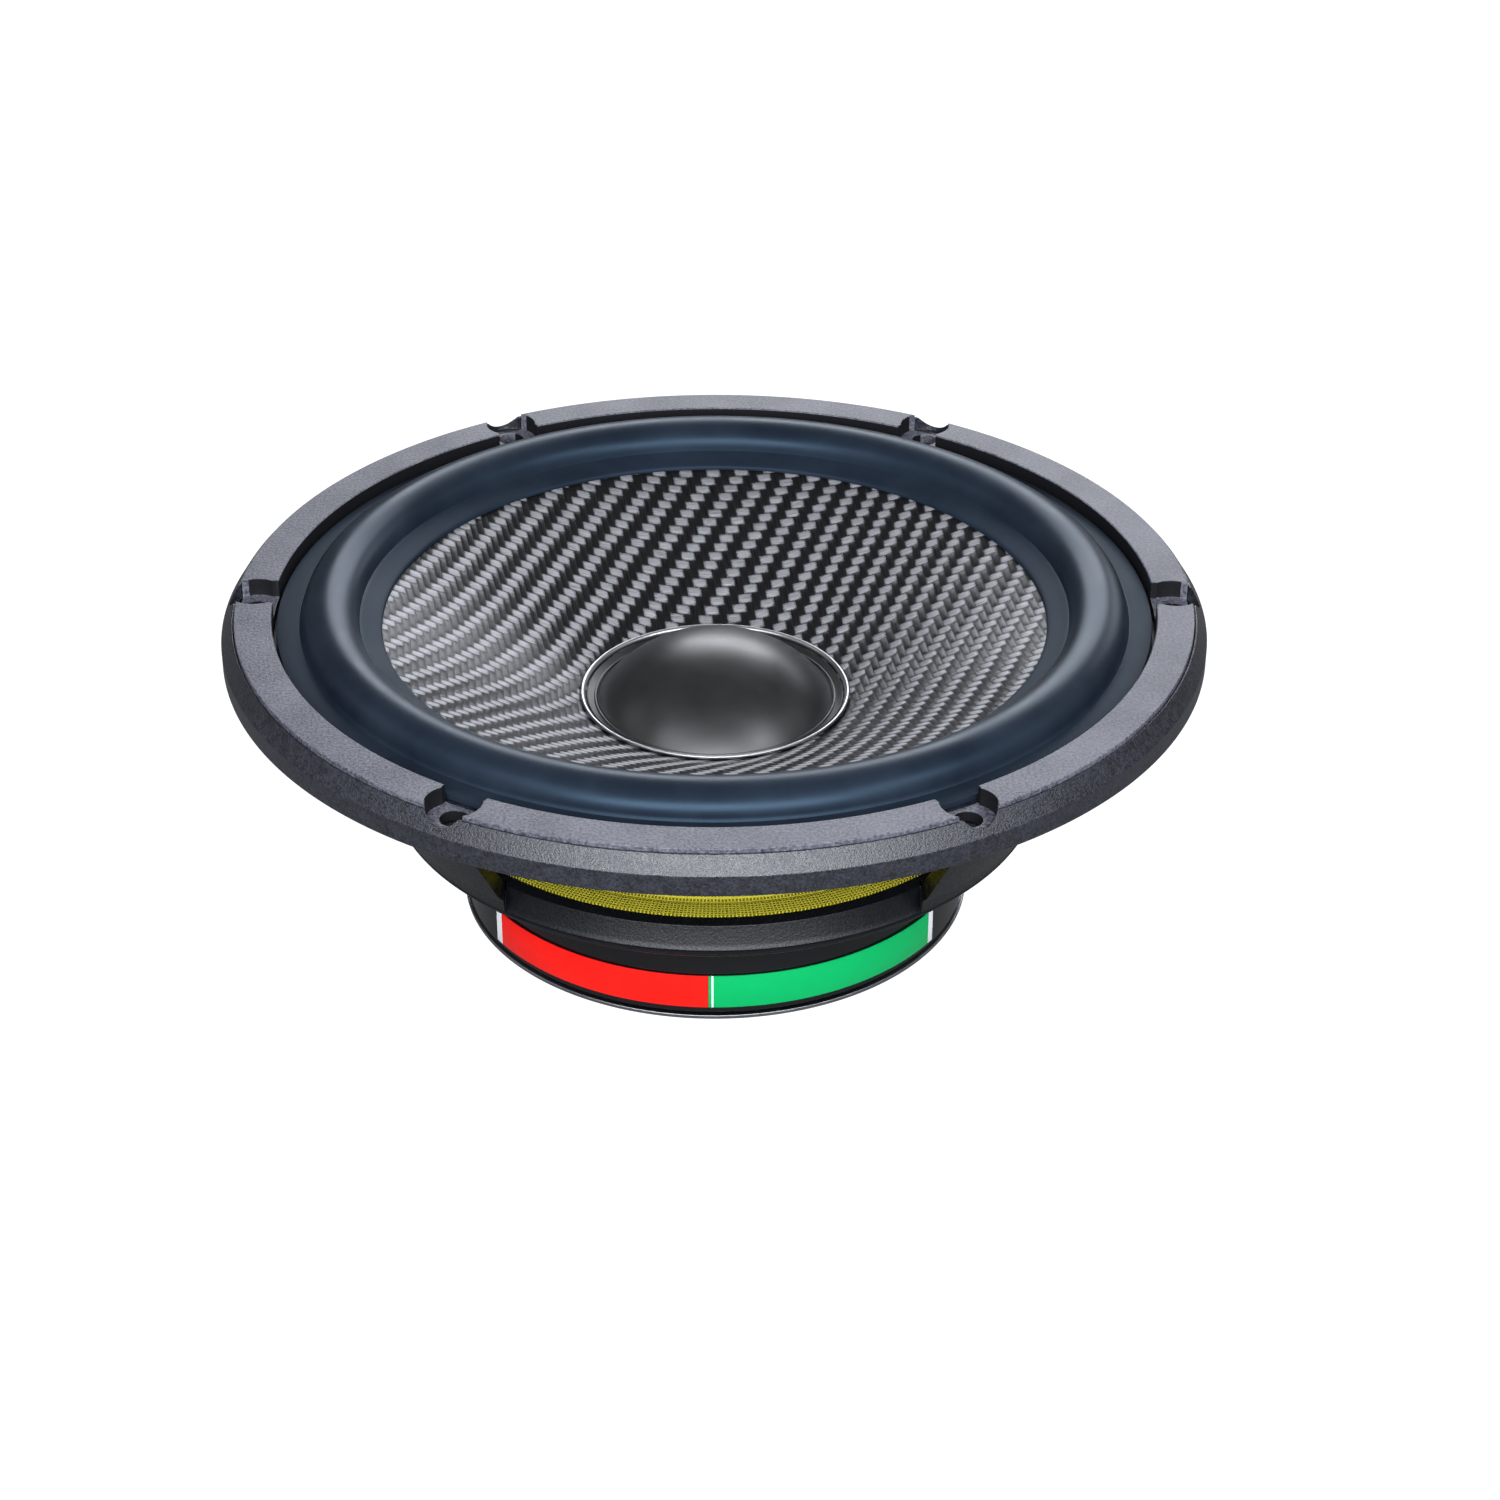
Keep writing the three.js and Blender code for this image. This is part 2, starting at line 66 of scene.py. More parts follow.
# ---- driving dimensions, as on the CAD side ------------------------------------------------------
NOTCH_COUNT = 6
NOTCH_FLOOR = -3.1
SCREW_CIRCLE = 77.3
FLANGE_FOOT = -6.9                 # below this the chassis has a smoother coat, darker as painted shade under the flange
LEG_COUNT = 3
REAR_LEG = math.radians(90)
FIRST_WINDOW = REAR_LEG + TURN / LEG_COUNT / 2
WINDOW_SILL = -31
MOTOR_SCREW_CIRCLE = 34
RIVET_SIDE, RIVET_DEPTH = 10.2, -20
LEAD_SIDE, LEAD_DEPTH = 5, -20.5

CONE_RIM, CONE_RIM_DEPTH = 55.9, -4.4
CONE_CAP, CONE_CAP_DEPTH = 22.8, -19.4
CONE_NECK, CONE_EDGE, CONE_WALL = 18.7, 59.3, 0.8
CONE_BULGE = 0.5
CONE_SLOPE = (CONE_RIM_DEPTH - CONE_CAP_DEPTH) / (CONE_RIM - CONE_CAP)

ROLL_CENTRE, ROLL_HALF, ROLL_BASE, ROLL_HEIGHT = 64.45, 4.85, -2.05, 4.33
SPIDER_DEPTH, SPIDER_FLAT_IN, SPIDER_FLAT_OUT = -31.35, 22, 48
SPIDER_WAVES, SPIDER_WAVE_HEIGHT = 6, 1.04
LABEL_TOP, LABEL_BOTTOM = -47.8, -54
MOTOR_EDGE = 42.6                  # radius of the top plate, the magnet and the back plate
GLUE = 0.3                         # gap between a glued part and the cone under it

CAMERA_PLACE = (4.4, -466.8, 303.9)
CAMERA_PITCH, CAMERA_YAW, CAMERA_ROLL = 30.805, 0.199, 0.2185      # degrees
CAMERA_LENS, CAMERA_SENSOR = 75.245, 36
LAMP_COLOUR = (0.92, 0.95, 1.0)


# ---- camera --------------------------------------------------------------------------------------
def add_camera():
    """A long lens in front of the driver, looking down at 31 degrees, with a hair of yaw and roll."""
    data = bpy.data.cameras.new("camera")
    data.sensor_width = CAMERA_SENSOR
    data.lens = CAMERA_LENS
    data.clip_start = 0.01
    camera = bpy.data.objects.new("camera", data)
    yaw = Matrix.Rotation(-math.radians(CAMERA_YAW), 4, "Z")
    tilt = Matrix.Rotation(math.radians(90 - CAMERA_PITCH), 4, "X")
    roll = Matrix.Rotation(math.radians(CAMERA_ROLL), 4, "Z")
    camera.matrix_world = Matrix.Translation(Vector(CAMERA_PLACE) * MM) @ yaw @ tilt @ roll
    bpy.context.scene.collection.objects.link(camera)
    bpy.context.scene.camera = camera


# ---- outlines ------------------------------------------------------------------------------------
def rounded(corners, steps=5):
    """A closed outline of (x, y) or (x, y, fillet) corners, with each fillet drawn as an arc."""
    points = []
    for i, corner in enumerate(corners):
        here = np.array(corner[:2], float)
        if len(corner) == 2:
            points.append(here)
            continue
        fillet = corner[2]
        back = np.array(corners[i - 1][:2], float) - here
        ahead = np.array(corners[(i + 1) % len(corners)][:2], float) - here
        back /= np.linalg.norm(back)
        ahead /= np.linalg.norm(ahead)
        half = math.acos(np.clip(back @ ahead, -1, 1)) / 2
        middle = (back + ahead) / np.linalg.norm(back + ahead)
        centre = here + middle * fillet / math.sin(half)
        reach = fillet / math.tan(half)
        start, end = here + back * reach - centre, here + ahead * reach - centre
        first = math.atan2(start[1], start[0])
        sweep = (math.atan2(end[1], end[0]) - first + math.pi) % TURN - math.pi
        for k in range(steps + 1):
            angle = first + sweep * k / steps
            points.append(centre + fillet * np.array((math.cos(angle), math.sin(angle))))
    return points


def arc(centre, radius, start, end, steps):
    """Points on an arc or ellipse; radius is a number or an (x, y) pair, and angles are in radians."""
    across, up = radius if isinstance(radius, tuple) else (radius, radius)
    angles = np.linspace(start, end, steps + 1)
    return [(centre[0] + across * math.cos(a), centre[1] + up * math.sin(a)) for a in angles]


def cone_depth(radius):
    """The cone's front surface: a flare with a slight bulge, and straight ends beyond its cap and rim."""
    end_slope = 4 * CONE_BULGE / (CONE_RIM - CONE_CAP)
    if radius > CONE_RIM:
        return CONE_RIM_DEPTH + (CONE_SLOPE - end_slope) * (radius - CONE_RIM)
    if radius < CONE_CAP:
        return CONE_CAP_DEPTH + (CONE_SLOPE + end_slope) * (radius - CONE_CAP)
    along = (radius - CONE_CAP) / (CONE_RIM - CONE_CAP)
    return CONE_CAP_DEPTH + CONE_SLOPE * (radius - CONE_CAP) + 4 * CONE_BULGE * along * (1 - along)


def on_cone(radius, lift=0.0):
    return (radius, cone_depth(radius) + lift)


# ---- meshes --------------------------------------------------------------------------------------
def make(name, points, faces, look=None, crease=35):
    """A mesh object from points in millimetres above the rear face, smooth but for its creases."""
    mesh = bpy.data.meshes.new(name)
    mesh.from_pydata((np.asarray(points, float) * MM).tolist(), [], [list(face) for face in faces])
    tidy(mesh, crease)
    if look:
        mesh.materials.append(look)
    piece = bpy.data.objects.new(name, mesh)
    bpy.context.scene.collection.objects.link(piece)
    return piece


def tidy(mesh, crease):
    """Joins doubled points, turns the faces outwards and sets the creases."""
    work = bmesh.new()
    work.from_mesh(mesh)
    bmesh.ops.remove_doubles(work, verts=work.verts, dist=1e-7)
    bmesh.ops.recalc_face_normals(work, faces=work.faces)
    work.to_mesh(mesh)
    work.free()
    mesh.shade_smooth()
    mesh.set_sharp_from_angle(angle=math.radians(crease))


def revolve(name, outline, look=None, segments=SEGMENTS, start=None, end=None, crease=35):
    """A closed outline of (radius, depth) points turned about the axis, whole or between two angles."""
    whole = start is None
    if whole:
        angles = np.linspace(0, TURN, segments, endpoint=False)
    else:
        angles = np.linspace(start, end, segments + 1)
    count, turns = len(outline), len(angles)
    points = [(r * math.cos(a), r * math.sin(a), FRONT + t) for a in angles for r, t in outline]
    faces = []
    for i in range(turns if whole else turns - 1):
        here, there = i * count, (i + 1) % turns * count
        for k in range(count):
            m = (k + 1) % count
            faces.append((here + k, here + m, there + m, there + k))
    if not whole:
        faces.append(range(count))
        faces.append(range((turns - 1) * count, turns * count))
    on_axis = any(r < 1e-9 for r, t in outline)
    if on_axis:
        faces = [face for face in faces if len({tuple(np.round(points[v], 6)) for v in face}) > 2]
        points = [tuple(np.round(p, 6)) for p in points]
        faces = [merge_pole(face, points) for face in faces]
    return make(name, points, faces, look, crease)


def merge_pole(face, points):
    """A face with the repeated corner on the axis left out."""
    kept, seen = [], set()
    for v in face:
        if points[v] not in seen:
            seen.add(points[v])
            kept.append(v)
    return kept


def prism(name, outline, low, high, axis="z", look=None, crease=35):
    """A flat outline raised along an axis.

    Along z the outline lies in (x, y), along x in (y, depth) and along y in (x, depth).
    """
    place = {
        "z": lambda u, v, w: (u, v, FRONT + w),
        "x": lambda u, v, w: (w, u, FRONT + v),
        "y": lambda u, v, w: (u, w, FRONT + v),
    }[axis]
    count = len(outline)
    points = [place(u, v, w) for w in (low, high) for u, v in outline]
    faces = [range(count), range(count, 2 * count)]
    faces += [(k, (k + 1) % count, count + (k + 1) % count, count + k) for k in range(count)]
    return make(name, points, faces, look, crease)


def bar(name, radius, low, high, axis, u, v, steps=32):
    """A round bar along an axis, through (u, v) in the outline plane that prism() uses."""
    return prism(name, arc((u, v), radius, 0, TURN, steps)[:-1], low, high, axis)


def turned(tool, count, first=0.0):
    """One mesh of several copies of a tool, spaced evenly round the axis, in place of the tool."""
    work = bmesh.new()
    for i in range(count):
        copy = tool.data.copy()
        copy.transform(Matrix.Rotation(first + TURN * i / count, 4, "Z"))
        work.from_mesh(copy)
        bpy.data.meshes.remove(copy)
    work.to_mesh(tool.data)
    work.free()
    return tool


def freeze(piece):
    """Applies a piece's modifiers to its mesh."""
    bpy.context.view_layer.update()
    evaluated = piece.evaluated_get(bpy.context.evaluated_depsgraph_get())
    mesh = bpy.data.meshes.new_from_object(evaluated)
    piece.modifiers.clear()
    old, piece.data = piece.data, mesh
    bpy.data.meshes.remove(old)
    return piece


def combine(piece, operation, *tools):
    """Cuts tools from a piece, joins them to it or keeps what they share, and removes the tools."""
    look = piece.data.materials[0] if piece.data.materials else None
    for tool in tools:
        modifier = piece.modifiers.new("combine", "BOOLEAN")
        modifier.operation = operation
        modifier.solver = "MANIFOLD"
        modifier.object = tool
        freeze(piece)
        bpy.data.objects.remove(tool)
    piece.data.materials.clear()
    if look:
        piece.data.materials.append(look)
    piece.data.polygons.foreach_set("material_index", [0] * len(piece.data.polygons))
    return piece


def soften(piece, width, steps=2, angle=50, crease=35):
    """Rounds a piece's sharp edges by a width in millimetres."""
    modifier = piece.modifiers.new("soften", "BEVEL")
    modifier.width = width * MM
    modifier.segments = steps
    modifier.limit_method = "ANGLE"
    modifier.angle_limit = math.radians(angle)
    modifier.use_clamp_overlap = False
    modifier.miter_outer = "MITER_ARC"
    freeze(piece)
    work = bmesh.new()
    work.from_mesh(piece.data)
    bmesh.ops.dissolve_degenerate(work, edges=work.edges, dist=2e-6)
    work.to_mesh(piece.data)
    work.free()
    piece.data.shade_smooth()
    piece.data.set_sharp_from_angle(angle=math.radians(crease))
    return piece


def weigh_normals(piece):
    """Lets a piece's large flat faces keep their own shading beside small fillets."""
    modifier = piece.modifiers.new("normals", "WEIGHTED_NORMAL")
    modifier.keep_sharp = True
    return freeze(piece)


def paint(piece, look, wanted):
    """Gives some of a piece's faces a look of their own."""
    piece.data.materials.append(look)
    for face in piece.data.polygons:
        if wanted(face):
            face.material_index = 1


def sweep(name, route, section, look):
    """A tube along a route of points in millimetres; section(angle, ring) gives its radius."""
    route = [Vector(p) for p in route]
    around = section.sides
    points, faces = [], []
    side = Vector((1, 0, 0))
    for i, here in enumerate(route):
        ahead = (route[min(i + 1, len(route) - 1)] - route[max(i - 1, 0)]).normalized()
        side = (side - ahead * side.dot(ahead)).normalized()
        up = ahead.cross(side)
        for k in range(around):
            angle = TURN * k / around
            points.append(here + (side * math.cos(angle) + up * math.sin(angle)) * section(angle, i))
    for i in range(len(route) - 1):
        for k in range(around):
            m = (k + 1) % around
            near, far = i * around, (i + 1) * around
            faces.append((near + k, near + m, far + m, far + k))
    faces.append(range(around))
    faces.append(range((len(route) - 1) * around, len(route) * around))
    return make(name, points, faces, look, crease=60)


def smooth_route(points, steps):
    """A Catmull-Rom curve through points, as a list of points an even number of steps apart."""
    points = [np.array(p, float) for p in points]
    padded = [2 * points[0] - points[1], *points, 2 * points[-1] - points[-2]]
    route = []
    for i in range(len(points) - 1):
        a, b, c, d = padded[i:i + 4]
        for t in np.linspace(0, 1, steps, endpoint=False):
            bend = (2 * a - 5 * b + 4 * c - d) * t**2
            twist = (3 * b - a - 3 * c + d) * t**3
            route.append(0.5 * (2 * b + (c - a) * t + bend + twist))
    return [*route, points[-1]]


# ---- materials -----------------------------------------------------------------------------------
class Look:
    """A procedural material. Node inputs take numbers, colours or other nodes' outputs."""

    def __init__(self, name, **constants):
        self.material = bpy.data.materials.new(name)
        self.material.use_nodes = True
        self.nodes = self.material.node_tree.nodes
        self.links = self.material.node_tree.links
        self.shader = self.nodes["Principled BSDF"]
        self.coordinates = self.nodes.new("ShaderNodeTexCoord").outputs["Object"]
        for socket, value in constants.items():
            self.shader.inputs[socket.replace("_", " ")].default_value = value

    def node(self, kind, inputs, **settings):
        made = self.nodes.new("ShaderNode" + kind)
        for key, value in settings.items():
            setattr(made, key, value)
        for key, value in inputs.items():
            if isinstance(value, bpy.types.NodeSocket):
                self.links.new(value, made.inputs[key])
            else:
                made.inputs[key].default_value = value
        return made

    def drive(self, socket, source):
        self.links.new(source, self.shader.inputs[socket])

    def math(self, operation, a, b=0.0):
        return self.node("Math", {0: a, 1: b}, operation=operation).outputs[0]

    def add(self, a, b):
        return self.math("ADD", a, b)

    def times(self, a, b):
        return self.math("MULTIPLY", a, b)

    def minus(self, a, b):
        return self.math("SUBTRACT", a, b)

    def mix(self, factor, a, b):
        made = self.node("Mix", {0: factor}, data_type="RGBA")
        for index, value in ((6, a), (7, b)):
            if isinstance(value, bpy.types.NodeSocket):
                self.links.new(value, made.inputs[index])
            else:
                made.inputs[index].default_value = (*value, 1)
        return made.outputs[2]

    def remap(self, value, low, high, to_low=0.0, to_high=1.0):
        made = self.node("MapRange", {0: value, 1: low, 2: high, 3: to_low, 4: to_high})
        return made.outputs[0]

    def choose(self, switch, a, b):
        """The first number where the switch is 0, and the second where it is 1."""
        return self.node("Mix", {0: switch, 2: a, 3: b}, data_type="FLOAT").outputs[0]

    def vector(self, x, y=0.0, z=0.0):
        return self.node("CombineXYZ", {0: x, 1: y, 2: z}).outputs[0]

    def texture(self, vector, scale, detail, roughness=0.5):
        inputs = {"Vector": vector, "Scale": scale, "Detail": detail, "Roughness": roughness}
        return self.node("TexNoise", inputs).outputs[0]

    def noise(self, grain, detail=2.0, roughness=0.5):
        """Smooth noise with a grain of that size in millimetres."""
        return self.texture(self.coordinates, 1 / (grain * MM), detail, roughness)

    def rings(self, scale, detail, roughness=0.5):
        """Noise that changes only with the distance from the axis, like the marks of a lathe."""
        return self.texture(self.vector(self.radius()), scale, detail, roughness)

    def colour(self, factor, dark, light):
        """Runs the base colour from dark to light as a factor goes from 0 to 1."""
        self.drive("Base Color", self.mix(factor, dark, light))

    def rough(self, source, low, high, smooth, rough):
        """Runs the roughness from smooth to rough as a source goes from low to high."""
        self.drive("Roughness", self.remap(source, low, high, smooth, rough))

    def bump(self, height, distance, under=None):
        """Adds a bump whose full height is a distance in millimetres, over another bump if given."""
        inputs = {"Height": height, "Distance": distance * MM, "Strength": 1.0}
        if under:
            inputs["Normal"] = under
        normal = self.node("Bump", inputs).outputs[0]
        self.drive("Normal", normal)
        return normal

    def parts(self):
        """The object coordinates in millimetres, as x, y and z."""
        split = self.node("SeparateXYZ", {0: self.coordinates})
        return [self.times(axis, 1 / MM) for axis in split.outputs]

    def radius(self):
        x, y, _ = self.parts()
        return self.math("SQRT", self.add(self.times(x, x), self.times(y, y)))


def powder_coat():
    """Fine speckled black powder coat."""
    look = Look("powder_coat", Specular_IOR_Level=0.75)
    grain = look.noise(0.45, 3, 0.65)
    patch = look.noise(1.6, 2)
    mottle = look.add(look.times(grain, 0.7), look.times(patch, 0.3))
    shade = look.remap(mottle, 0.38, 0.62)
    look.colour(shade, (0.002, 0.0025, 0.0045), (0.020, 0.023, 0.033))
    look.rough(mottle, 0.35, 0.65, 0.3, 0.5)
    look.bump(grain, 0.11, look.bump(look.noise(0.22, 1), 0.03))
    return look.material


def chassis_paint_with_painted_shade():
    """The smoother coat on the legs and the shelf, below the flange, darker as painted shade."""
    look = Look("chassis_paint_with_painted_shade", Specular_IOR_Level=0.3)
    grain = look.noise(0.45, 3, 0.65)
    cloud = look.noise(5, 2)
    # A darker copy of the coat: painted shade under the flange.
    look.colour(cloud, (0.0015, 0.002, 0.0035), (0.006, 0.0065, 0.009))
    look.rough(grain, 0.35, 0.65, 0.32, 0.46)
    look.bump(grain, 0.05)
    return look.material


def trim_plastic_with_painted_sheen():
    """Fine-grained plastic, grey partly as painted sheen of the lamps."""
    look = Look("trim_plastic_with_painted_sheen")
    grain = look.noise(0.5, 3, 0.65)
    cloud = look.noise(9, 2)
    shade = look.add(look.times(grain, 0.8), look.times(cloud, 0.2))
    # The grey is partly painted sheen: the lamps' glow on a black moulding.
    look.colour(look.remap(shade, 0.38, 0.62), (0.035, 0.038, 0.053), (0.165, 0.168, 0.20))
    look.rough(grain, 0.3, 0.7, 0.38, 0.55)
    look.bump(grain, 0.1)
    return look.material


def trim_wall():
    """The moulding's upright walls, left as black plastic."""
    look = Look("trim_wall", Roughness=0.5, Specular_IOR_Level=0.25)
    grain = look.noise(0.5, 3)
    look.colour(grain, (0.004, 0.004, 0.005), (0.010, 0.010, 0.012))
    look.bump(grain, 0.02)
    return look.material


def rubber():
    """Blue-black satin rubber, rougher on its two glued feet."""
    look = Look("rubber", Specular_IOR_Level=0.3)
    look.shader.inputs["Specular Tint"].default_value = (0.42, 0.7, 1.0, 1)
    dust = look.noise(14, 4, 0.6)
    skin = look.noise(0.25, 2)
    look.colour(look.remap(dust, 0.35, 0.7), (0.008, 0.012, 0.02), (0.014, 0.02, 0.031))
    radius, extra = look.radius(), 0.22
    inner_foot = look.remap(radius, 59.0, 60.2, extra, 0)
    outer_foot = look.remap(radius, 69.2, 69.8, 0, extra)
    glued = look.add(inner_foot, outer_foot)
    look.drive("Roughness", look.add(look.remap(dust, 0.3, 0.7, 0.33, 0.41), glued))
    look.bump(skin, 0.008)
    return look.material


def carbon_weave():
    """A twill of carbon tows draped over the cone: each passes over two others, then under two."""
    look = Look("carbon_weave", Anisotropic=0.9, Coat_Weight=0.12, Coat_Roughness=0.25)
    x, y, _ = look.parts()
    squares = look.add(look.times(x, x), look.times(y, y))
    drape = 0.098                      # how much longer the cone's flank is than its plan

    def draped(axis):
        share = look.math("DIVIDE", look.times(axis, axis), squares)
        return look.times(axis, look.add(look.times(share, drape), 1.0))

    warp_pitch, weft_pitch = 1.27, 2.0
    weft_angle, warp_angle = math.radians(3), math.radians(98.5)
    ax, ay = warp_pitch * math.cos(weft_angle), warp_pitch * math.sin(weft_angle)
    bx, by = weft_pitch * math.cos(warp_angle), weft_pitch * math.sin(warp_angle)
    area = ax * by - ay * bx
    u, v = draped(x), draped(y)
    wander = look.times(look.minus(look.noise(12, 1), 0.5), 0.5)
    i = look.add(look.add(look.times(u, by / area), look.times(v, -bx / area)), look.add(wander, 64.35))
    j = look.add(look.add(look.times(u, -ay / area), look.times(v, ax / area)), 64.0)
    step = look.minus(look.math("FLOOR", i), look.math("FLOOR", j))
    phase = look.math("FLOORED_MODULO", step, 4.0)
    weft_over = look.math("LESS_THAN", phase, 1.5)
    along_i, along_j = look.math("FRACT", i), look.math("FRACT", j)

    def crown(fraction, power):
        """1 at the middle of a tow and 0 at its edges."""
        centred = look.math("ABSOLUTE", look.minus(look.times(fraction, 2.0), 1.0))
        return look.minus(1.0, look.math("POWER", centred, power))

    weft_length = look.times(look.add(phase, along_i), 0.5)
    warp_length = look.times(look.add(look.minus(3.0, phase), along_j), 0.5)
    weft_height = look.times(crown(along_j, 2.2), crown(weft_length, 2.6))
    warp_height = look.times(crown(along_i, 2.2), crown(warp_length, 3.0))
    over = look.choose(weft_over, warp_height, weft_height)

    def fibres(across, along, threads):
        """Fine streaks along a tow."""
        return look.texture(look.vector(look.times(across, threads), look.times(along, 0.35)), 1.0, 3.0)

    weft_fibres, warp_fibres = fibres(j, i, 26.0), fibres(i, j, 18.0)
    streak = look.choose(weft_over, warp_fibres, weft_fibres)

    # Painted sheen and shade: the wefts get a light grey and the warps near black, though both are the
    # same carbon.
    weft_colour_with_painted_sheen = look.mix(look.remap(streak, 0.3, 0.7), (0.17, 0.17, 0.183), (0.44, 0.44, 0.462))
    warp_colour_with_painted_shade = look.mix(look.remap(streak, 0.3, 0.7), (0.008, 0.008, 0.009), (0.07, 0.07, 0.076))
    tow = look.mix(weft_over, warp_colour_with_painted_shade, weft_colour_with_painted_sheen)
    # Each tow darkens towards its edges: painted shade between the tows.
    edge = look.remap(look.add(over, look.times(look.minus(look.noise(0.3, 2), 0.5), 0.9)), 0.0, 0.62)
    look.colour(edge, (0.004, 0.004, 0.006), tow)
    look.rough(streak, 0.3, 0.7, 0.36, 0.5)
    look.drive("Metallic", look.remap(edge, 0.0, 1.0, 0.2, 0.85))

    def across(angle):
        return look.vector(-math.sin(angle), math.cos(angle))

    spread = {0: weft_over, 4: across(warp_angle), 5: across(weft_angle)}
    look.drive("Tangent", look.node("Mix", spread, data_type="VECTOR").outputs[1])
    look.bump(look.add(over, look.times(streak, 0.12)), 0.16)
    return look.material


def satin_black():
    """The dust cap's satin moulding."""
    look = Look("satin_black", Specular_IOR_Level=0.9)
    dust = look.noise(6, 4, 0.6)
    look.colour(look.remap(dust, 0.35, 0.7), (0.006, 0.0065, 0.007), (0.011, 0.0115, 0.012))
    look.rough(dust, 0.3, 0.7, 0.34, 0.39)
    look.bump(look.noise(0.12, 1), 0.003)
    return look.material


def polished_metal():
    look = Look("polished_metal", Metallic=1.0)
    scratches = look.rings(14.0, 3.0)
    look.colour(scratches, (0.45, 0.455, 0.47), (0.62, 0.625, 0.64))
    look.rough(scratches, 0.3, 0.7, 0.26, 0.4)
    return look.material


def spider_cloth():
    """Resin-stiffened yellow cloth: threads run out from the centre, with finer ones round it."""
    look = Look("spider_cloth", Roughness=0.7, Specular_IOR_Level=0.2)
    x, y, _ = look.parts()
    angle = look.math("ARCTAN2", y, x)
    radius = look.radius()
    wobble = look.times(look.minus(look.noise(1.2, 2), 0.5), 0.9)
    spokes = look.math("SINE", look.add(look.times(angle, 520.0), wobble))
    rounds = look.math("SINE", look.add(look.times(radius, TURN / 0.62), wobble))
    weave = look.math("MAXIMUM", spokes, look.times(rounds, 0.8))
    fuzz = look.noise(0.18, 3, 0.7)
    shade = look.remap(look.add(weave, fuzz), 0.0, 1.25)
    look.colour(shade, (0.16, 0.135, 0.0), (0.7, 0.63, 0.05))
    look.bump(look.add(look.times(weave, 0.5), look.times(fuzz, 0.4)), 0.2)
    return look.material


def amber_film():
    look = Look("amber_film", Roughness=0.25, Coat_Weight=0.3)
    streak = look.noise(2.5, 3)
    look.colour(streak, (0.22, 0.06, 0.008), (0.42, 0.15, 0.025))
    look.bump(look.noise(0.4, 2), 0.01)
    return look.material


def copper_wire():
    look = Look("copper_wire", Metallic=1.0, Coat_Weight=0.4)
    tint = look.noise(3, 2)
    look.colour(tint, (0.55, 0.20, 0.07), (0.78, 0.36, 0.16))
    look.rough(look.noise(0.5, 2), 0.3, 0.7, 0.18, 0.34)
    return look.material


def zinc_plate():
    """Bright zinc on turned steel: rings from the lathe, and a faint spangle."""
    look = Look("zinc_plate", Metallic=1.0, Anisotropic=0.5)
    rings = look.rings(5.0, 4.0, 0.7)
    spangle = look.noise(4, 2)
    blend = look.add(look.times(rings, 0.6), look.times(spangle, 0.4))
    look.colour(look.remap(blend, 0.35, 0.65), (0.24, 0.255, 0.28), (0.42, 0.43, 0.45))
    look.rough(rings, 0.3, 0.7, 0.24, 0.42)
    look.bump(rings, 0.02)
    return look.material


def ferrite():
    look = Look("ferrite", Roughness=0.75)
    grain = look.noise(0.3, 3, 0.7)
    look.colour(grain, (0.015, 0.015, 0.016), (0.045, 0.045, 0.047))
    look.bump(grain, 0.05)
    return look.material


def gloss_black():
    look = Look("gloss_black")
    haze = look.noise(18, 3)
    look.colour(haze, (0.003, 0.003, 0.004), (0.006, 0.006, 0.0075))
    look.rough(haze, 0.3, 0.7, 0.05, 0.1)
    look.bump(look.noise(5, 1), 0.01)
    return look.material


def printed_film_with_painted_shadow(name, dark, light):
    look = Look(name, Roughness=0.3, Specular_IOR_Level=0.3)
    _, _, height = look.parts()
    ink = look.noise(2.5, 3)
    # The film darkens towards its top edge: painted shadow of the shelf above.
    fade = look.remap(height, FRONT + LABEL_BOTTOM, FRONT + LABEL_TOP)
    look.colour(look.add(look.times(ink, 0.5), look.times(fade, 0.2)), light, dark)
    look.bump(look.noise(0.3, 2), 0.004)
    return look.material


def board():
    look = Look("board", Roughness=0.55)
    x, _, z = look.parts()
    pitch = 0.5
    threads = look.times(*(look.math("SINE", look.times(axis, TURN / pitch)) for axis in (x, z)))
    speck = look.noise(0.4, 3)
    shade = look.add(look.times(threads, 0.2), speck)
    look.colour(shade, (0.008, 0.009, 0.010), (0.024, 0.026, 0.028))
    look.bump(look.add(threads, speck), 0.02)
    return look.material


def plated(name, dark, light):
    look = Look(name, Metallic=1.0)
    tarnish = look.noise(1.8, 4, 0.6)
    look.colour(look.remap(tarnish, 0.3, 0.7), dark, light)
    look.rough(tarnish, 0.3, 0.7, 0.2, 0.38)
    look.bump(look.noise(0.15, 2), 0.004)
    return look.material


